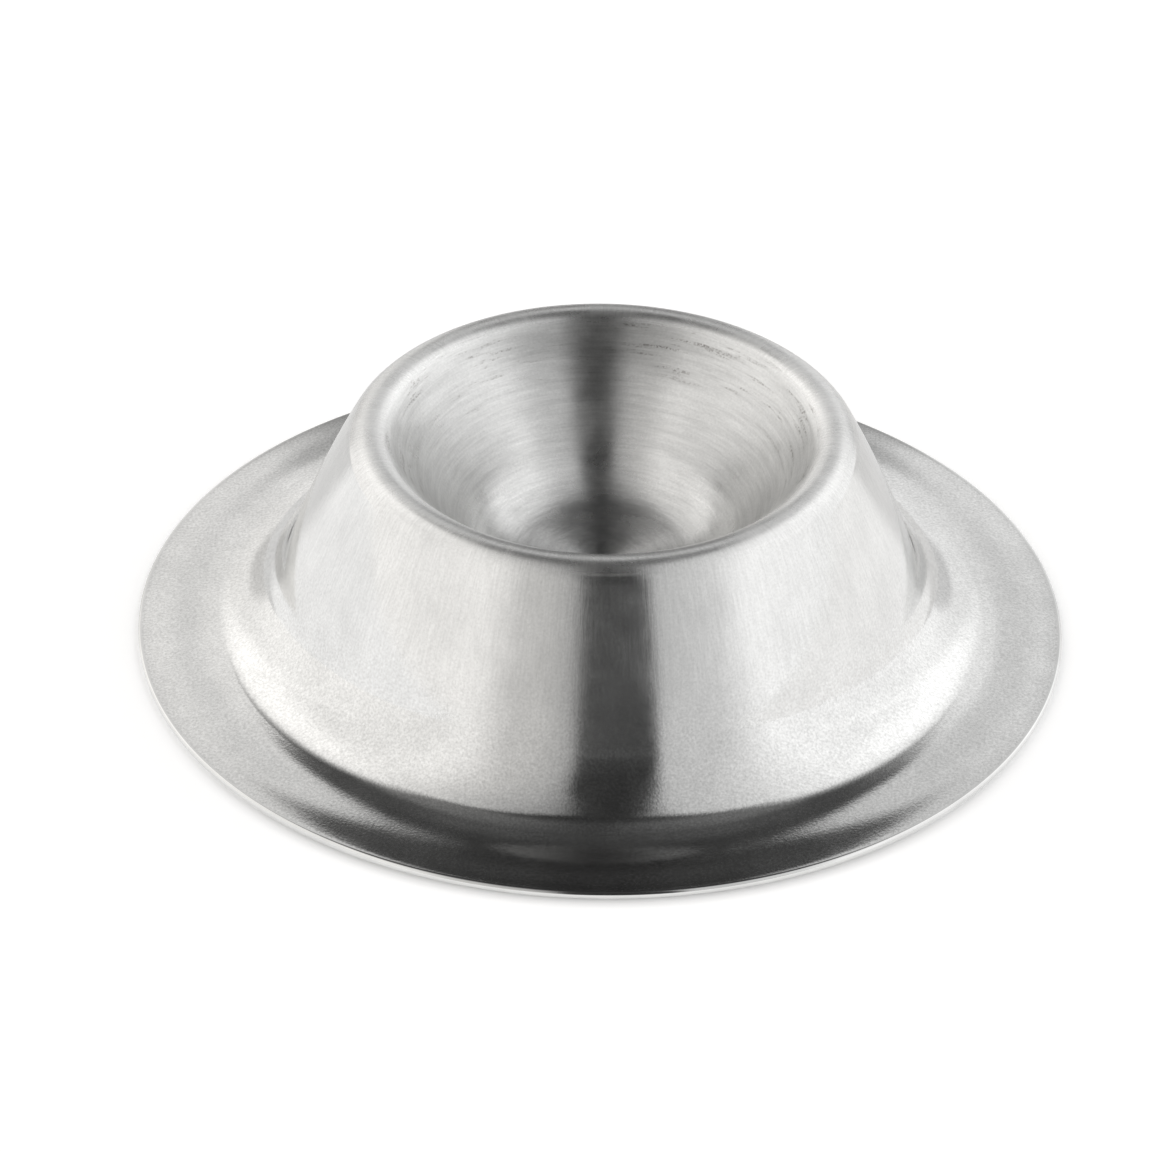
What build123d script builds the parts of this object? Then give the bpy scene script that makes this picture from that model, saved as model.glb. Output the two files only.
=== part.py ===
from build123d import *
import os
from math import asin, atan2, cos, degrees, dist, hypot, radians, sin, sqrt, tan

# Egg cup drawn from one disc of stainless steel sheet, hollow underneath.
# Millimetres, +Z up. The origin is on the axis, in the plane that the cup stands on.

# Sheet
sheet = 0.7  # thickness
edge_round = 0.28  # rounding of the cut edge's upper corner
burr_round = 0.2  # rounding of the cut edge's lower corner

# Foot flange
flange_diameter = 86.0  # over the cut edge
flange_width = 7.5  # from the cut edge in to where the sheet turns up into the wall
flange_slope = 7.8  # degrees that the flange falls towards its edge
rest_width = 0.8  # flat ring pressed under the edge, which stands on the table
foot_bend = 7.7  # concave corner at the foot of the wall

# Wall
wall_crown = 98.0  # radius of the wall's slight swell between the foot and the lip

# Lip
height = 21.5  # from the table to the crest of the lip
lip_diameter = 42.6  # circle that the crest runs along
lip_bend = 2.55  # radius that the wall turns over at the lip

# Bowl
bowl_clearance = 5.6  # from the table to the underside of the bowl's floor at the axis
floor_diameter = 11.0  # circle that the centre of the bowl's corner runs along
floor_slope = 13.0  # degrees that the bowl's floor falls towards the axis
bowl_bend = 9.0  # corner between the bowl's side and its floor, and the rounding at the floor's middle

# A bend is (centre radius, centre height, radius), for the show face: the upper and outer face of the
# sheet. The radius is above 0 where the sheet turns over the centre and below 0 where it turns under it.
edge_radius = flange_diameter / 2
slope = radians(flange_slope)
edge_height = sheet / cos(slope) - rest_width * tan(slope)
foot_height = edge_height + flange_width * tan(slope)
foot = (
    edge_radius - flange_width + foot_bend * sin(slope),
    foot_height + foot_bend * cos(slope),
    -foot_bend,
)
lip = (lip_diameter / 2, height - lip_bend, lip_bend)
floor_middle = (0, bowl_clearance + sheet + bowl_bend, -bowl_bend)
bowl = (
    floor_diameter / 2,
    floor_middle[1] + floor_diameter / 2 * tan(radians(floor_slope)),
    -bowl_bend,
)


def wall_bend():
    # The wall touches the foot bend from outside and holds the lip bend inside it, so its centre is where
    # a circle round each of those two centres meets the other.
    foot_reach = wall_crown + foot_bend
    lip_reach = wall_crown - lip_bend
    across = lip[0] - foot[0]
    up = lip[1] - foot[1]
    apart = hypot(across, up)
    along = (foot_reach**2 - lip_reach**2 + apart**2) / (2 * apart)
    aside = sqrt(foot_reach**2 - along**2)
    return (
        foot[0] + (along * across - aside * up) / apart,
        foot[1] + (along * up + aside * across) / apart,
        wall_crown,
    )


def run_direction(bend, following):
    # Direction in which the sheet goes from one bend to the next, along the tangent of both circles.
    across = following[0] - bend[0]
    up = following[1] - bend[1]
    lean = (bend[2] - following[2]) / hypot(across, up)
    return (atan2(up, across) + asin(max(-1, min(1, lean)))) % radians(360)


def on_bend(bend, direction, depth):
    # Point of a bend where the sheet runs in the given direction, at a depth below the show face.
    reach = bend[2] - depth
    return (max(0, bend[0] + reach * sin(direction)), bend[1] - reach * cos(direction))


def face_line(bends, directions, depth):
    # The sheet's edges from the foot bend to the axis, end to end, at a depth below the show face.
    # Bends that touch share their end point, and a straight run joins bends that lie apart.
    line = []
    end = None
    for bend, arriving, leaving in zip(bends, directions, directions[1:]):
        start = on_bend(bend, arriving, depth)
        if end and dist(end, start) < 0.001:
            start = end
        elif end:
            line.append(Line(end, start))
        middle = on_bend(bend, (arriving + leaving) / 2, depth)
        end = on_bend(bend, leaving, depth)
        line.append(ThreePointArc(start, middle, end))
    return line


def pressed_cup(bends, directions):
    # The outline is drawn from the cut edge towards the axis. The flat ring takes a wedge off the hidden
    # face, and the show face falls on to the edge.
    show_face = face_line(bends, directions, 0)
    hidden_face = face_line(bends, directions, sheet)
    corner = edge_round / tan((radians(90) + slope) / 2)
    show_start = (edge_radius - corner * cos(slope), edge_height + corner * sin(slope))
    edge_top = (edge_radius, edge_height - corner)
    edge_foot = (edge_radius, burr_round)
    ring_outer = (edge_radius - burr_round, 0)
    ring_inner = (edge_radius - rest_width, 0)
    outline = [
        Line(show_start, show_face[0] @ 0),
        *show_face,
        Line(show_face[-1] @ 1, hidden_face[-1] @ 1),
        *hidden_face,
        Line(hidden_face[0] @ 0, ring_inner),
        Line(ring_inner, ring_outer),
        RadiusArc(ring_outer, edge_foot, -burr_round),
        Line(edge_foot, edge_top),
        RadiusArc(edge_top, show_start, -edge_round),
    ]
    return revolve(Plane.XZ * make_face(outline), Axis.Z)


# A level run towards the axis points along 180 degrees.
sheet_bends = [foot, wall_bend(), lip, bowl, floor_middle]
runs = [run_direction(bend, following) for bend, following in zip(sheet_bends, sheet_bends[1:])]
directions = [radians(180) - slope, *runs, radians(180)]

os.makedirs("parts", exist_ok=True)
cup = pressed_cup(sheet_bends, directions)
cup.label = "pressed_cup"
export_step(cup, "parts/pressed_cup.step")
for name, run in zip(("wall at the foot", "wall at the lip", "bowl side", "bowl floor"), runs):
    print(f"{name} {abs(180 - degrees(run)):.1f} degrees")
print(f"volume {cup.volume:.0f} mm3, edge height {edge_height:.2f} mm")
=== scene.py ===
from math import hypot, radians

import bpy
import numpy as np
from mathutils import Matrix, Vector


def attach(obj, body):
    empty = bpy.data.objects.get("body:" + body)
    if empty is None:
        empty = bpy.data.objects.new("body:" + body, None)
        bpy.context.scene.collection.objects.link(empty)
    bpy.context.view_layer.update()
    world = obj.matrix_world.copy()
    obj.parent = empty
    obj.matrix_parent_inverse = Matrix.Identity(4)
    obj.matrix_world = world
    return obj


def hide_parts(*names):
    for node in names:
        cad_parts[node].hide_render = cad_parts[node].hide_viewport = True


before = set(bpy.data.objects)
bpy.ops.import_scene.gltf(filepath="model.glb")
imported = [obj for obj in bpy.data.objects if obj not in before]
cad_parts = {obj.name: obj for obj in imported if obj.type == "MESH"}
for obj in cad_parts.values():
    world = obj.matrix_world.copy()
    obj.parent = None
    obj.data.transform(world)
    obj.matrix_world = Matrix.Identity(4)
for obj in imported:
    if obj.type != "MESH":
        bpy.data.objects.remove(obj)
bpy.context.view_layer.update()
scene = bpy.context.scene
print("frame loaded:", sorted(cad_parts))


# small helpers for node trees: a socket given as an input is linked, anything else is set on it
def addNode(tree, kind, inputs=(), **settings):
    made = tree.nodes.new("ShaderNode" + kind)
    for name, value in settings.items():
        setattr(made, name, value)
    for key, value in dict(inputs).items():
        if isinstance(value, bpy.types.NodeSocket):
            tree.links.new(value, made.inputs[key])
        else:
            made.inputs[key].default_value = value
    return made


def calc(tree, operation, first, second=0.0):
    return addNode(tree, "Math", {0: first, 1: second}, operation=operation).outputs[0]


def product(tree, first, *others):
    for other in others:
        first = calc(tree, "MULTIPLY", first, other)
    return first


# a share of 0 gives the first value and a share of 1 the second
def blend(tree, share, first, second):
    return addNode(tree, "Mix", {0: share, 2: first, 3: second}).outputs[0]


def tint(tree, share, first, second, mode="MIX"):
    sockets = {0: share, 6: first, 7: second}
    return addNode(tree, "Mix", sockets, data_type="RGBA", blend_type=mode).outputs[2]


# maps a value from one range to another, clamped at both ends; smooth gives an S-shaped change
def remap(tree, value, low, high, toLow=0.0, toHigh=1.0, smooth=True):
    sockets = {"Value": value, "From Min": low, "From Max": high, "To Min": toLow, "To Max": toHigh}
    shape = "SMOOTHSTEP" if smooth else "LINEAR"
    return addNode(tree, "MapRange", sockets, interpolation_type=shape).outputs[0]


# straight lines between stops of (value, level)
def ramp(tree, value, stops):
    low, high = stops[0][0], stops[-1][0]
    made = addNode(tree, "ValToRGB", {0: remap(tree, value, low, high, smooth=False)})
    elements = made.color_ramp.elements
    elements.remove(elements[1])
    for index, (place, level) in enumerate(stops):
        element = elements[0] if index == 0 else elements.new((place - low) / (high - low))
        element.color = (level, level, level, 1.0)
    return made.outputs[0]


def noise(tree, place, scale, detail, roughness):
    sockets = {"Vector": place, "Scale": scale, "Detail": detail, "Roughness": roughness}
    return addNode(tree, "TexNoise", sockets).outputs[0]


# the cup: one sheet, in millimetres, with the sizes of the solid that it stands for
cup = {
    "sheet": 0.7,
    "flangeDiameter": 86.0,
    "flangeWidth": 7.5,
    "flangeSlope": 7.8,
    "restWidth": 0.8,
    "footBend": 7.7,
    "wallCrown": 98.0,
    "height": 21.494,  # the solid's mesh tops out just below 21.5
    "lipDiameter": 42.6,
    "lipBend": 2.55,
    "bowlClearance": 5.6,
    "floorDiameter": 11.0,
    "floorSlope": 13.0,
    "bowlBend": 9.0,
    "edgeRound": 0.28,
    "burrRound": 0.2,  # lower corner of the cut edge
    "easeHeight": 0.099,  # half of the lift where the flange starts to turn up
    "easeRadius": 34.9,
    "easeWidth": 1.56,
    "easeTop": 6.0,  # height where the lift has faded out, and the height that it fades over
    "easeFade": 4.0,
    "rippleHeight": 0.013,  # faint wave that pressing left in the flange
    "rippleLength": 4.72,
    "rippleSteepest": 40.98,  # radius where the wave falls most steeply
    "around": 288,  # faces round the cup
    "turnStep": 2.6,  # degrees that the sheet turns between two rings of points
    "runStep": 0.9,  # millimetres between rings where the sheet is straight
    "flangeStep": 0.3,
}


# Centre of the wall's arc: it touches the foot bend from outside and holds the lip bend inside it, so it
# lies where a circle round each of the two centres meets the other.
def wallCentre(foot, lip, crown):
    footReach, lipReach = crown + abs(foot[2]), crown - abs(lip[2])
    across, up = lip[0] - foot[0], lip[1] - foot[1]
    apart = hypot(across, up)
    along = (footReach**2 - lipReach**2 + apart**2) / (2 * apart)
    aside = np.sqrt(footReach**2 - along**2)
    return (
        foot[0] + (along * across - aside * up) / apart,
        foot[1] + (along * up + aside * across) / apart,
    )


# height of the flange's upper face at its edge: the flat ring below takes a wedge off the sheet
def edgeHeight(size):
    slope = radians(size["flangeSlope"])
    return size["sheet"] / np.cos(slope) - size["restWidth"] * np.tan(slope)


# Bends of the sheet from the flange to the axis, as (centre radius, centre height, signed radius). The
# radius is above 0 where the sheet turns over the centre and below 0 where it turns under it.
def sheetBends(size):
    slope = radians(size["flangeSlope"])
    bend = size["footBend"]
    foot = (
        size["flangeDiameter"] / 2 - size["flangeWidth"] + bend * np.sin(slope),
        edgeHeight(size) + size["flangeWidth"] * np.tan(slope) + bend * np.cos(slope),
        -bend,
    )
    lip = (size["lipDiameter"] / 2, size["height"] - size["lipBend"], size["lipBend"])
    middle = (0.0, size["bowlClearance"] + size["sheet"] + size["bowlBend"], -size["bowlBend"])
    reach = size["floorDiameter"] / 2
    bowl = (reach, middle[1] + reach * np.tan(radians(size["floorSlope"])), -size["bowlBend"])
    wall = (*wallCentre(foot, lip, size["wallCrown"]), size["wallCrown"])
    return [foot, wall, lip, bowl, middle]


# One face of the sheet as a line of (radius, height), at a depth below the show face. It starts at the
# given radius with the straight flange. Each bend is an arc about its centre, between the directions of the
# runs before and after it. A run touches both of its bends: its direction is that of the line between the
# centres, turned by the arcsine of the difference of the signed radii over the distance.
def faceLine(size, depth, start, coarse=1.0):
    bends = sheetBends(size)
    slope = radians(size["flangeSlope"])
    directions = [np.pi - slope]
    for here, after in zip(bends, bends[1:]):
        across, up = after[0] - here[0], after[1] - here[1]
        swing = np.arcsin(np.clip((here[2] - after[2]) / hypot(across, up), -1, 1))
        directions.append((np.arctan2(up, across) + swing) % (2 * np.pi))
    directions.append(np.pi)
    pieces = []
    for (radius, height, bend), arriving, leaving in zip(bends, directions, directions[1:]):
        turn = abs(leaving - arriving)
        steps = max(np.degrees(turn) / size["turnStep"], turn * abs(bend) / size["runStep"]) / coarse
        heading = np.linspace(arriving, leaving, int(steps) + 3)
        reach = bend - depth
        pieces.append(np.stack([radius + reach * np.sin(heading), height - reach * np.cos(heading)], -1))
    inner = pieces[0][0]
    radii = np.arange(start, inner[0] + 0.1, -size["flangeStep"] * coarse)
    line = [np.stack([radii, inner[1] - (radii - inner[0]) * np.tan(slope)], -1), pieces[0]]
    for piece in pieces[1:]:
        last, first = line[-1][-1], piece[0]
        gap = np.linalg.norm(first - last)
        share = np.linspace(0, 1, int(gap / size["runStep"] / coarse) + 2)[1:-1, None]
        if gap > 1e-6:
            line += [last + (first - last) * share, piece]
        else:
            line.append(piece[1:])
    line = np.concatenate(line)
    # outside the lip the sheet lifts in a soft step before the foot bend: a hyperbolic tangent of the radius
    low = np.clip((size["easeTop"] - line[:, 1]) / size["easeFade"], 0, 1)
    low = low * (line[:, 0] > size["lipDiameter"] / 2)
    step = 1 + np.tanh((size["easeRadius"] - line[:, 0]) / size["easeWidth"])
    line[:, 1] += low * size["easeHeight"] * step
    return line


# The whole section: up the bowl from the axis, over the lip and down to the flange's edge, round the cut
# edge with an arc at each corner, and back under the sheet to the axis.
def sheetSection(size):
    slope = radians(size["flangeSlope"])
    edge = size["flangeDiameter"] / 2
    upper, lower = size["edgeRound"], size["burrRound"]
    height = edgeHeight(size) + upper * np.tan(slope) - upper / np.cos(slope)
    turn = np.linspace(slope, np.pi / 2, 11)
    topCorner = np.stack([edge - upper + upper * np.sin(turn), height + upper * np.cos(turn)], -1)
    turn = np.linspace(0, np.pi / 2, 6)
    lowCorner = np.stack([edge - lower + lower * np.cos(turn), lower - lower * np.sin(turn)], -1)
    show = faceLine(size, 0.0, topCorner[0, 0] - 0.15)[::-1]
    ring = np.array([[edge - size["restWidth"], 0.0]])
    hidden = faceLine(size, size["sheet"], edge - size["restWidth"] - 0.5, coarse=2.0)
    # the ripple is a sine of the radius on the show face, faded out towards the foot
    inner = edge - size["flangeWidth"]
    fade = np.clip((show[:, 0] - inner + 0.5) / 1.5, 0, 1)
    wave = np.sin(2 * np.pi * (show[:, 0] - size["rippleSteepest"]) / size["rippleLength"])
    show[:, 1] -= size["rippleHeight"] * fade * wave
    return np.concatenate([show, topCorner, lowCorner, ring, hidden]), len(show)


# Surface of revolution: point (i, j) is the section's point i turned by the angle j. The first and last
# points lie on the axis, where each is one vertex with a fan of triangles.
def turnedMesh(name, section, around):
    angle = np.arange(around) * 2 * np.pi / around
    ring = section[1:-1] / 1000
    rings = len(ring)
    grid = np.stack(
        [
            ring[:, :1] * np.cos(angle),
            ring[:, :1] * np.sin(angle),
            np.repeat(ring[:, 1:], around, 1),
        ],
        -1,
    ).reshape(-1, 3)
    poles = np.array([[0, 0, section[0, 1]], [0, 0, section[-1, 1]]]) / 1000
    number = np.arange(rings * around).reshape(rings, around)
    beside = np.roll(number, -1, 1)
    quads = np.stack([number[:-1], number[1:], beside[1:], beside[:-1]], -1).reshape(-1, 4)
    top, bottom = rings * around, rings * around + 1
    topFan = np.stack([np.full(around, top), number[0], beside[0]], -1)
    bottomFan = np.stack([np.full(around, bottom), beside[-1], number[-1]], -1)
    mesh = bpy.data.meshes.new(name)
    mesh.from_pydata(np.concatenate([grid, poles]), [], quads.tolist() + topFan.tolist() + bottomFan.tolist())
    mesh.shade_smooth()
    steps = np.linalg.norm(np.diff(section, axis=0), axis=1)
    along = np.concatenate([[0], np.cumsum(steps)])
    # way along the sheet from the middle of the bowl, in millimetres, for patterns that follow it
    way = np.concatenate([np.repeat(along[1:-1], around), along[[0, -1]]])
    mesh.attributes.new("way", "FLOAT", "POINT").data.foreach_set("value", way.astype(np.float32))
    return mesh, along


section, showCount = sheetSection(cup)
cupMesh, wayAlong = turnedMesh("eggCup", section, cup["around"])
cupPiece = bpy.data.objects.new("eggCup", cupMesh)
scene.collection.objects.link(cupPiece)
print("cup mesh:", len(cupMesh.vertices), "points,", len(cupMesh.polygons), "faces")

# places along the sheet, as ways from the middle of the bowl
wayCrest = float(wayAlong[int(np.argmax(section[:showCount, 1]))])
wayEdge = float(wayAlong[showCount])

# The cup's finish. Lengths are in millimetres. A pair named Rise or Fade holds the heights between which
# something changes. In, Out, Top and Foot are ways from the crest of the lip. A pair named Stretch holds
# a noise's scale round the axis and along the sheet, and a pair named Cut the noise levels that count.
satin = {
    "colour": (0.66, 0.66, 0.653, 1.0),
    "stained": (0.27, 0.26, 0.25, 1.0),
    "roughness": (0.075, 0.13),  # at the foot and at the top of the wall
    "roughRise": (3.0, 15.0),
    "lipRoughness": 0.27,
    "bowlRoughness": (0.22, 0.32),  # at the floor and at the top
    "bowlRise": (4.0, 14.0),
    "stretch": 0.75,  # how much more the finish blurs across its lines than along them
    "lipIn": (0.9, 1.9),  # from the crest inwards, where the lip's finish fades out
    "lipOut": (-2.1, -1.5),
    # painted shade: the inside of the bowl is a little darker, and its floor darker still, fading out up to
    # the given heights
    "bowlPaintedShade": 0.96,
    "floorPaintedShade": 0.58,
    "floorPaintedShadeFade": (6.8, 10.2),
    "grainStep": 0.13,  # width of a grain line at the wall
    "grainStretch": (28.0, 0.10),
    "grainRise": (3.0, 14.0),
    "grainLeast": 0.15,  # share of the grain that is left on the flange
    "grainLift": 0.0026,  # height of the grain
    "grainShade": 0.30,
    "speckStep": 0.12,
    "speckRise": (2.0, 15.0),
    "speckLeast": (0.35, 0.4),  # share of the specks that is left at the top and in the bowl
    "speckLift": 0.0026,
    "speckShade": 0.85,
    "edgeFade": 0.25,  # width along the cut edge where the specks fade out
    "ringStep": 0.20,  # width of a spun line in the bowl
    "ringStretch": (1.1, 1.0),
    "ringLift": 0.0060,
    "ringShade": 0.55,
    "streakStretch": (3.0, 1.6),
    "streakCut": (0.52, 0.70),
    "streakBreak": (0.40, 0.62),  # levels of the specks that break up the streaks
    "streakDepth": 0.004,
    "streakTop": (0.7, 2.0),
    "streakFoot": (3.7, 9.5),
    "streakLeast": 0.12,  # share of the streaks that is left below
    "paintedReflectionTop": (1.0, 2.4),  # a painted dark reflection at the back, under the lip
    "paintedReflectionFoot": (3.0, 9.5),
    "paintedReflectionSide": (0.72, 0.985),  # part of the outward direction that points away from the viewer
    "paintedReflectionStretch": (2.0, 0.35),
    "paintedReflectionCut": (0.25, 0.65),
    "paintedReflectionLeast": 0.25,
    "paintedReflectionShade": 0.66,
    "patchScale": 0.22,
    "patchCut": (0.3, 0.7),
    "patchRoughness": (0.85, 1.15),
    "mottle": 0.25,
}


# Brushed sheet. Grain: noise on the direction round the axis and very little along the sheet, so it runs
# in lines from the lip to the edge. Rings: noise on the way along the sheet and little round the axis, so
# it runs in circles, in the bowl. Specks: noise on all three axes, stronger towards the foot. Streaks: the
# highest parts of a long thin noise round the bowl, broken up by the specks.
# The bowl's inside, its floor and a place under the lip at the back are also painted darker, as painted shade
# and a painted dark reflection.
def satinSteel(look):
    material = bpy.data.materials.new("satinSteel")
    material.use_nodes = True
    tree = material.node_tree
    tree.nodes.clear()
    place = addNode(tree, "TexCoord").outputs["Object"]
    millimetres = addNode(tree, "VectorMath", {0: place, "Scale": 1000.0}, operation="SCALE").outputs[0]
    split = addNode(tree, "SeparateXYZ", {0: millimetres})
    level = split.outputs[2]
    flat = addNode(tree, "CombineXYZ", {0: split.outputs[0], 1: split.outputs[1]}).outputs[0]
    facing = addNode(tree, "VectorMath", {0: flat}, operation="NORMALIZE").outputs[0]
    facing = addNode(tree, "SeparateXYZ", {0: facing})
    way = addNode(tree, "Attribute", attribute_name="way").outputs["Fac"]

    # coordinates round the axis and along the sheet, each stretched by its own factor
    def wrapped(turning, along):
        sockets = {
            0: product(tree, facing.outputs[0], turning),
            1: product(tree, facing.outputs[1], turning),
            2: product(tree, way, along),
        }
        return addNode(tree, "CombineXYZ", sockets).outputs[0]

    # a noise as a factor about 1
    def about(value, depth):
        return calc(tree, "ADD", product(tree, calc(tree, "SUBTRACT", value, 0.5), depth), 1.0)

    # where things are: in the bowl, on the lip, inside the lip's outer side, and off the cut edge
    inwards = calc(tree, "SUBTRACT", wayCrest, way)
    bowl = remap(tree, inwards, *look["lipIn"])
    turned = remap(tree, inwards, *look["lipOut"])
    lip = product(tree, remap(tree, inwards, *look["lipIn"], 1.0, 0.0), turned)
    plain = remap(tree, way, wayEdge - look["edgeFade"], wayEdge, 1.0, 0.0)
    highSpecks, bowlSpecks = look["speckLeast"]
    low = product(tree, remap(tree, level, *look["speckRise"], 1.0, highSpecks), plain)
    low = blend(tree, bowl, low, bowlSpecks)
    fine = remap(tree, level, *look["grainRise"], look["grainLeast"], 1.0)
    pitted = remap(tree, inwards, *look["streakTop"])
    pitted = product(tree, pitted, remap(tree, inwards, *look["streakFoot"], 1.0, look["streakLeast"]))

    grain = noise(tree, wrapped(*look["grainStretch"]), 0.5 / look["grainStep"], 3.0, 0.6)
    grain = calc(tree, "ADD", 0.5, product(tree, calc(tree, "SUBTRACT", grain, 0.5), fine))
    rings = noise(tree, wrapped(*look["ringStretch"]), 0.5 / look["ringStep"], 3.0, 0.7)
    specks = noise(tree, millimetres, 0.5 / look["speckStep"], 2.5, 0.6)
    specks = blend(tree, plain, 0.5, specks)
    patches = noise(tree, millimetres, look["patchScale"], 3.0, 0.6)
    streaks = remap(tree, noise(tree, wrapped(*look["streakStretch"]), 1.0, 4.0, 0.65), *look["streakCut"])
    streaks = product(tree, streaks, remap(tree, specks, *look["streakBreak"]), pitted)

    # heights in millimetres, which the bump's distance turns into metres
    grainLift = product(tree, grain, look["grainLift"])
    ringLift = product(tree, rings, look["ringLift"])
    speckLift = product(tree, specks, low, look["speckLift"])
    height = calc(tree, "ADD", blend(tree, bowl, grainLift, ringLift), speckLift)
    height = calc(tree, "SUBTRACT", height, product(tree, streaks, look["streakDepth"]))
    bump = addNode(tree, "Bump", {"Strength": 1.0, "Distance": 0.001, "Height": height}).outputs[0]

    roughness = remap(tree, level, *look["roughRise"], *look["roughness"])
    inside = remap(tree, level, *look["bowlRise"], *look["bowlRoughness"])
    roughness = blend(tree, bowl, roughness, inside)
    roughness = blend(tree, lip, roughness, look["lipRoughness"])
    roughness = product(tree, roughness, remap(tree, patches, *look["patchCut"], *look["patchRoughness"]))

    shade = blend(tree, bowl, about(grain, look["grainShade"]), about(rings, look["ringShade"]))
    shade = product(tree, shade, about(specks, product(tree, low, look["speckShade"])))
    shade = product(tree, shade, about(patches, look["mottle"]))
    # painted shade: the bowl is darker inside, most at its floor
    sunkPaintedShade = remap(tree, level, *look["floorPaintedShadeFade"], look["floorPaintedShade"], 1.0)
    shade = product(tree, shade, blend(tree, bowl, 1.0, product(tree, sunkPaintedShade, look["bowlPaintedShade"])))
    # a painted dark reflection under the lip at the back, on the side away from the viewer, broken up by a
    # noise
    paintedReflection = product(
        tree,
        remap(tree, inwards, *look["paintedReflectionTop"]),
        remap(tree, inwards, *look["paintedReflectionFoot"], 1.0, 0.0),
        remap(tree, facing.outputs[1], *look["paintedReflectionSide"]),
    )
    broken = noise(tree, wrapped(*look["paintedReflectionStretch"]), 1.0, 3.0, 0.6)
    paintedReflection = product(tree, paintedReflection, remap(tree, broken, *look["paintedReflectionCut"], look["paintedReflectionLeast"], 1.0))
    shade = product(tree, shade, blend(tree, paintedReflection, 1.0, look["paintedReflectionShade"]))
    colour = tint(tree, streaks, look["colour"], look["stained"])
    colour = tint(tree, 1.0, colour, shade, "MULTIPLY")
    # the finish blurs round the axis outside, and up and down on the lip and in the bowl
    circling = addNode(tree, "Tangent", direction_type="RADIAL", axis="Z").outputs[0]
    upright = addNode(tree, "NewGeometry").outputs["Normal"]
    climbing = addNode(tree, "VectorMath", {0: upright, 1: circling}, operation="CROSS_PRODUCT").outputs[0]
    across = addNode(tree, "Mix", {0: turned, 4: circling, 5: climbing}, data_type="VECTOR").outputs[1]
    shader = addNode(
        tree,
        "BsdfPrincipled",
        {
            "Base Color": colour,
            "Metallic": 1.0,
            "Roughness": roughness,
            "Anisotropic": look["stretch"],
            "Normal": bump,
            "Tangent": across,
        },
    )
    addNode(tree, "OutputMaterial", {"Surface": shader.outputs[0]})
    return material


cupMesh.materials.append(satinSteel(satin))
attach(cupPiece, "root")
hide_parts("pressed_cup")
print("steel finished")

# plain pale floor; camera and mirror rays see it white, with the shadow that the cup leaves on it, a painted
# shadow by the front of the cup's edge, and a painted shade behind the cup that only mirrors see
floor = {
    "rings": (0.15, 0.6, 3.0),  # radii in metres
    "around": 96,
    "drop": 0.00002,  # just below the cup
    "albedo": 0.93,
    "topUp": 0.28,
    "mirrorUp": 0.41,
    "shade": (-0.024, -0.010, 0.34),  # start and end behind the cup of the painted shade on the mirrored floor, and its depth
    "shadeSpread": 0.9,  # how fast that place moves back to the sides
    "paintedShadowWidth": 0.0016,  # width of the painted shadow at the edge
    "paintedShadowFront": (-0.04, -0.015, 0.15),  # start and end where it fades out to the back, and what is left
}


# A disc as rings of points about the axis: point (i, j) is at radius i, turned by the angle j.
def floorDisc(spec):
    angle = np.linspace(0, 2 * np.pi, spec["around"], endpoint=False)
    radius = np.array(spec["rings"])[:, None]
    level = np.full((len(radius), len(angle)), -spec["drop"])
    grid = np.stack([radius * np.cos(angle), radius * np.sin(angle), level], -1)
    number = np.arange(level.size).reshape(level.shape)
    beside = np.roll(number, -1, 1)
    quads = np.stack([number[:-1], number[1:], beside[1:], beside[:-1]], -1).reshape(-1, 4)
    mesh = bpy.data.meshes.new("floor")
    mesh.from_pydata(grid.reshape(-1, 3), [], quads.tolist() + [number[0].tolist()])
    return mesh


def floorPaint(spec, edge):
    material = bpy.data.materials.new("floorPaint")
    material.use_nodes = True
    tree = material.node_tree
    tree.nodes.clear()
    path = addNode(tree, "LightPath")
    mirrored = calc(tree, "MAXIMUM", path.outputs["Is Glossy Ray"], path.outputs["Is Transmission Ray"])
    white = (spec["albedo"],) * 3 + (1.0,)
    matte = addNode(tree, "BsdfDiffuse", {"Color": white}).outputs[0]
    # painted shade: behind the cup the floor that mirrors see glows less and is darker
    where = addNode(tree, "TexCoord").outputs["Object"]
    place = addNode(tree, "SeparateXYZ", {0: where})
    aside = calc(tree, "ABSOLUTE", place.outputs[0])
    beyond = calc(tree, "SUBTRACT", place.outputs[1], product(tree, aside, spec["shadeSpread"]))
    low, high, depth = spec["shade"]
    mirrorUp = remap(tree, beyond, low, high, spec["mirrorUp"], spec["mirrorUp"] - depth)
    # painted shadow: near the cup's edge the camera's lift fades out, fully at the front and less towards the
    # back, so that the floor there is darker
    reach = addNode(tree, "VectorMath", {0: where}, operation="LENGTH").outputs["Value"]
    apart = calc(tree, "SUBTRACT", reach, edge)
    front, back, least = spec["paintedShadowFront"]
    paintedShadow = remap(tree, apart, 0.0, spec["paintedShadowWidth"], 1.0, 0.0)
    paintedShadow = product(tree, paintedShadow, remap(tree, place.outputs[1], front, back, 1.0, least))
    topUp = remap(tree, paintedShadow, 0.0, 1.0, spec["topUp"], 0.0, smooth=False)
    lift = product(tree, path.outputs["Is Camera Ray"], topUp)
    lift = calc(tree, "MAXIMUM", lift, product(tree, mirrored, mirrorUp))
    glow = addNode(tree, "Emission", {"Color": (1, 1, 1, 1), "Strength": lift}).outputs[0]
    both = addNode(tree, "AddShader", {0: matte, 1: glow}).outputs[0]
    addNode(tree, "OutputMaterial", {"Surface": both})
    return material


floorMesh = floorDisc(floor)
floorMesh.materials.append(floorPaint(floor, cup["flangeDiameter"] / 2000))
floorPiece = bpy.data.objects.new("floor", floorMesh)
scene.collection.objects.link(floorPiece)

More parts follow.
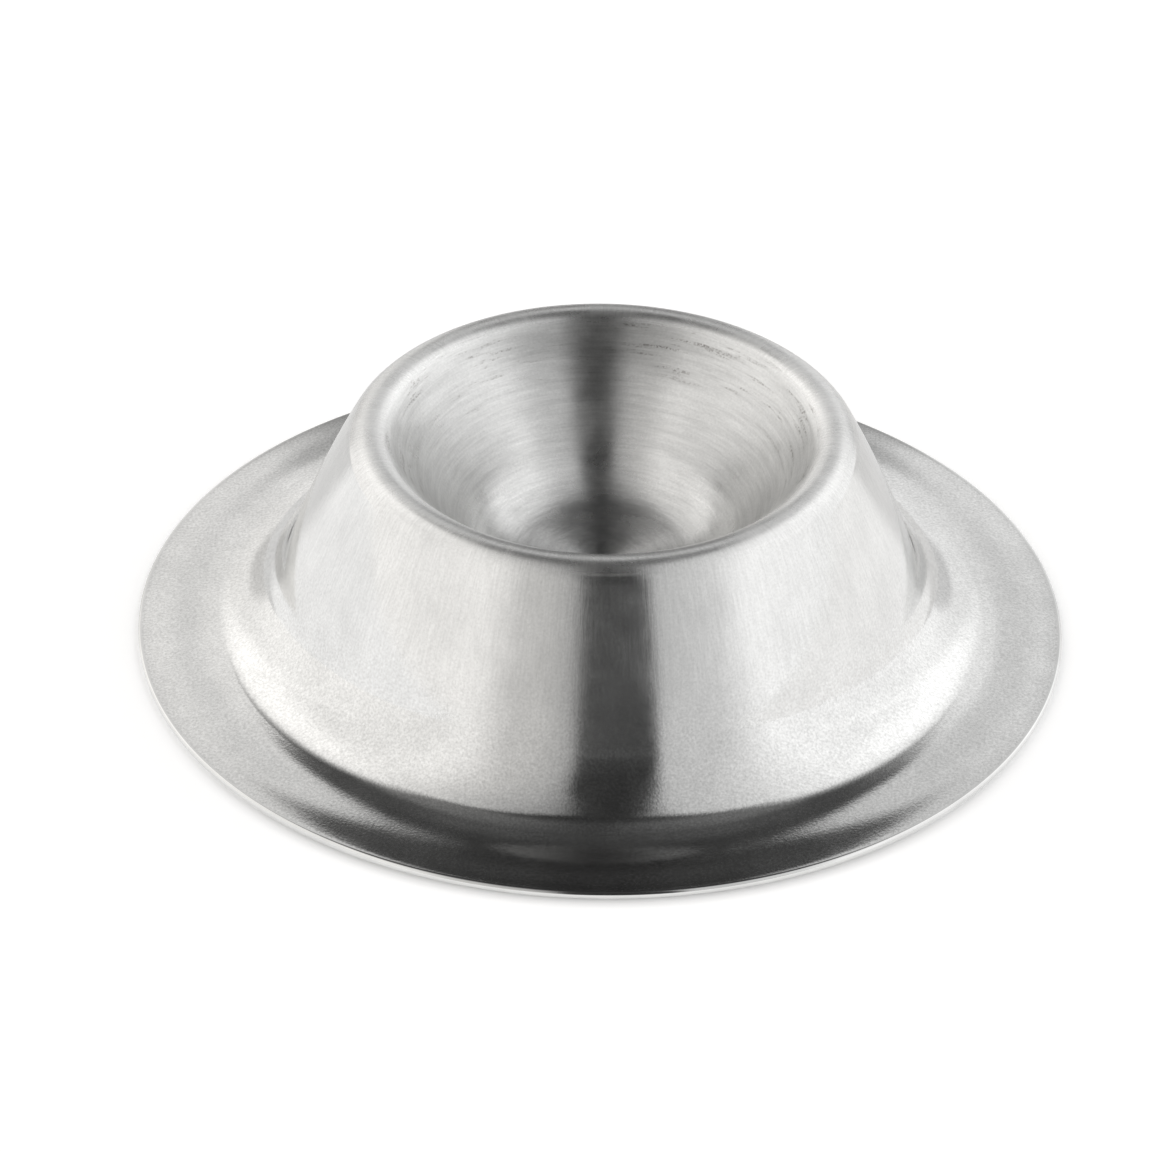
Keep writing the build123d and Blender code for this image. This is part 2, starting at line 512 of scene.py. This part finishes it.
# Soft studio: a bright panel on each side with a dimmer ceiling towards the middle, a white sweep behind,
# and a dark slit between the panels, which runs from the viewer's side over the top and widens behind. All
# edges and levels are on the parts of a direction: x to the right, y away from the viewer, z up. Each list
# holds stops with straight lines between them.
studio = {
    "slitLeft": (  # edge in x, by y
        (-0.95, 0.12), (-0.6, 0.115), (-0.35, 0.10), (-0.2, 0.075), (0.14, 0.05), (0.33, 0.265), (0.6, 0.275),
    ),
    "slitRight": (
        (-0.95, 0.335), (-0.78, 0.30), (-0.6, 0.26), (-0.4, 0.222), (-0.2, 0.178), (0.0, 0.138), (0.16, 0.11),
        (0.33, 0.24), (0.6, 0.25),
    ),
    "slitSoft": ((-0.95, 0.09), (-0.5, 0.07), (0.0, 0.06), (0.3, 0.12), (0.6, 0.15)),
    "slitFront": (  # level by half turns, from the viewer's side up and over
        (0.018, 0.078), (0.06, 0.09), (0.1, 0.088), (0.14, 0.062), (0.2, 0.052), (0.27, 0.042), (0.5, 0.038),
    ),
    "slitBack": (  # level by x
        (-0.2, 0.21), (-0.1, 0.15), (-0.04, 0.09), (0.0, 0.055), (0.05, 0.09), (0.12, 0.165), (0.2, 0.2),
    ),
    "slitFar": 0.43,  # times that, low behind
    "slitFarRise": (0.78, 0.86),  # in z
    "slitTurn": (0.18, 0.34),  # in y, where the slit widens
    "ceilingLeft": (  # level by x
        (0.05, 0.26), (0.1, 0.37), (0.15, 0.48), (0.2, 0.57), (0.3, 0.69), (0.4, 0.75), (0.5, 0.77),
    ),
    "ceilingRight": ((0.1, 0.52), (0.16, 0.66), (0.25, 0.74), (0.4, 0.76), (0.5, 0.78)),
    "panelLeft": (  # more than the ceiling, by x leaned along y
        (0.24, 0.0), (0.3, 0.07), (0.36, 0.2), (0.42, 0.33), (0.48, 0.41), (0.56, 0.45), (0.66, 0.38),
        (0.8, 0.41), (0.95, 0.48),
    ),
    "panelRight": (
        (0.2, 0.0), (0.34, 0.08), (0.42, 0.18), (0.48, 0.3), (0.55, 0.46), (0.61, 0.56), (0.68, 0.59),
        (0.76, 0.5), (0.9, 0.48),
    ),
    "lean": (0.28, 0.45),
    "rearLow": (  # level by the distance from the middle in x
        (0.0, 0.2), (0.09, 0.28), (0.125, 0.55), (0.15, 0.98), (0.22, 1.04), (0.3, 1.05), (0.45, 1.12),
        (0.6, 1.2), (0.7, 1.3), (1.0, 1.27),
    ),
    "rearHigh": (
        (-1.0, 1.25), (-0.8, 1.32), (-0.6, 1.5), (-0.5, 1.56), (-0.42, 1.52), (-0.34, 1.28), (-0.26, 1.08),
        (-0.18, 0.9), (-0.1, 0.8), (0.1, 0.77), (0.18, 0.8), (0.23, 0.86), (0.27, 1.14), (0.34, 1.26),
        (0.42, 1.47), (0.5, 1.56), (0.6, 1.54), (0.8, 1.38), (1.0, 1.28),
    ),
    "rearRise": (0.34, 0.52),  # in z
    "rearStart": (0.2, 0.62),  # in y
    "sweepTop": (  # edge in z, by the distance from the middle in x
        (0.0, 0.727), (0.06, 0.73), (0.1, 0.735), (0.13, 0.738), (0.17, 0.735), (0.2, 0.72), (0.24, 0.70),
        (0.265, 0.665), (0.32, 0.56),
    ),
    "sweepSoft": (0.034, 0.028),  # on the left and on the right
    "sweepSides": (-0.05, 0.05),  # in x, where the left passes into the right
    "sweepStart": (-0.25, 0.05),
    "dip": (0.48, 0.14, 0.22, 0.30),  # darker place low behind: its x, its reach in x and in z, its depth
    "dipSoft": (0.7, 1.25),  # in reaches from its middle
    "dipStart": (0.5, 0.7),  # in y
    "warm": (1.0, 0.985, 0.965, 1.0),
    "warmFade": (-0.4, 0.1),  # in x
}


def studioWorld(spec):
    world = bpy.data.worlds.new("studio")
    world.use_nodes = True
    tree = world.node_tree
    tree.nodes.clear()
    split = addNode(tree, "SeparateXYZ", {0: addNode(tree, "TexCoord").outputs["Generated"]})
    x, y, z = split.outputs
    aside = calc(tree, "ABSOLUTE", x)
    soft = ramp(tree, y, spec["slitSoft"])
    behind = remap(tree, y, *spec["rearStart"])
    raised = remap(tree, z, *spec["rearRise"])
    rear = blend(tree, raised, ramp(tree, aside, spec["rearLow"]), ramp(tree, x, spec["rearHigh"]))

    def panel(side, edge, ceiling, over, lean):
        past = calc(tree, "DIVIDE", calc(tree, "SUBTRACT", side, ramp(tree, y, edge)), soft)
        leaned = calc(tree, "ADD", side, product(tree, y, lean))
        front = calc(tree, "ADD", ramp(tree, side, ceiling), ramp(tree, leaned, over))
        return product(tree, remap(tree, past, -0.5, 0.5), blend(tree, behind, front, rear))

    opposite = product(tree, x, -1.0)
    left = panel(opposite, spec["slitLeft"], spec["ceilingLeft"], spec["panelLeft"], spec["lean"][0])
    right = panel(x, spec["slitRight"], spec["ceilingRight"], spec["panelRight"], spec["lean"][1])
    onRight = remap(tree, x, *spec["sweepSides"])
    above = calc(tree, "SUBTRACT", z, ramp(tree, aside, spec["sweepTop"]))
    above = calc(tree, "DIVIDE", above, blend(tree, onRight, *spec["sweepSoft"]))
    sweep = product(tree, remap(tree, y, *spec["sweepStart"]), remap(tree, above, -0.5, 0.5, 1.0, 0.0), rear)
    over = calc(tree, "DIVIDE", calc(tree, "ARCTAN2", z, product(tree, y, -1.0)), np.pi)
    turned = remap(tree, y, *spec["slitTurn"])
    far = remap(tree, z, *spec["slitFarRise"], spec["slitFar"], 1.0)
    far = product(tree, ramp(tree, x, spec["slitBack"]), far)
    dark = blend(tree, turned, ramp(tree, over, spec["slitFront"]), far)
    level = calc(tree, "MAXIMUM", calc(tree, "MAXIMUM", left, right), calc(tree, "MAXIMUM", sweep, dark))
    # the darker place is an ellipse in x and z
    centre, wide, high, depth = spec["dip"]
    across = calc(tree, "POWER", calc(tree, "DIVIDE", calc(tree, "SUBTRACT", aside, centre), wide), 2.0)
    upwards = calc(tree, "POWER", calc(tree, "DIVIDE", z, high), 2.0)
    away = calc(tree, "SQRT", calc(tree, "ADD", across, upwards))
    dip = product(tree, remap(tree, away, *spec["dipSoft"], depth, 0.0), remap(tree, y, *spec["dipStart"]))
    level = product(tree, level, calc(tree, "SUBTRACT", 1.0, dip))
    # the camera itself sees plain white
    seen = addNode(tree, "LightPath").outputs["Is Camera Ray"]
    level = blend(tree, seen, level, 1.0)
    white = calc(tree, "MAXIMUM", seen, remap(tree, x, *spec["warmFade"]))
    colour = tint(tree, white, spec["warm"], (1, 1, 1, 1))
    glow = addNode(tree, "Background", {"Color": colour, "Strength": level}).outputs[0]
    addNode(tree, "OutputWorld", {"Surface": glow})
    return world


scene.world = studioWorld(studio)
print("floor and studio ready")

# camera at the photograph's angle
view = {
    "lens": 204.11,
    "sensor": 36.0,
    "elevation": 33.83,
    "distance": 0.60581,
    "target": (-0.002294, 0.0, 0.005322),
    "roll": 0.7893,
}
rise = radians(view["elevation"])
back = Vector((0, -np.cos(rise), np.sin(rise)))
up = Vector((0, np.sin(rise), np.cos(rise)))
turned = Matrix((Vector((1, 0, 0)), up, back)).transposed() @ Matrix.Rotation(radians(view["roll"]), 3, "Z")
lens = bpy.data.cameras.new("camera")
lens.lens = view["lens"]
lens.sensor_width = view["sensor"]
lens.clip_start = 0.01
camera = bpy.data.objects.new("camera", lens)
camera.matrix_world = Matrix.Translation(Vector(view["target"]) + back * view["distance"]) @ turned.to_4x4()
scene.collection.objects.link(camera)
scene.camera = camera
scene.view_settings.view_transform = "Standard"
print("camera placed")
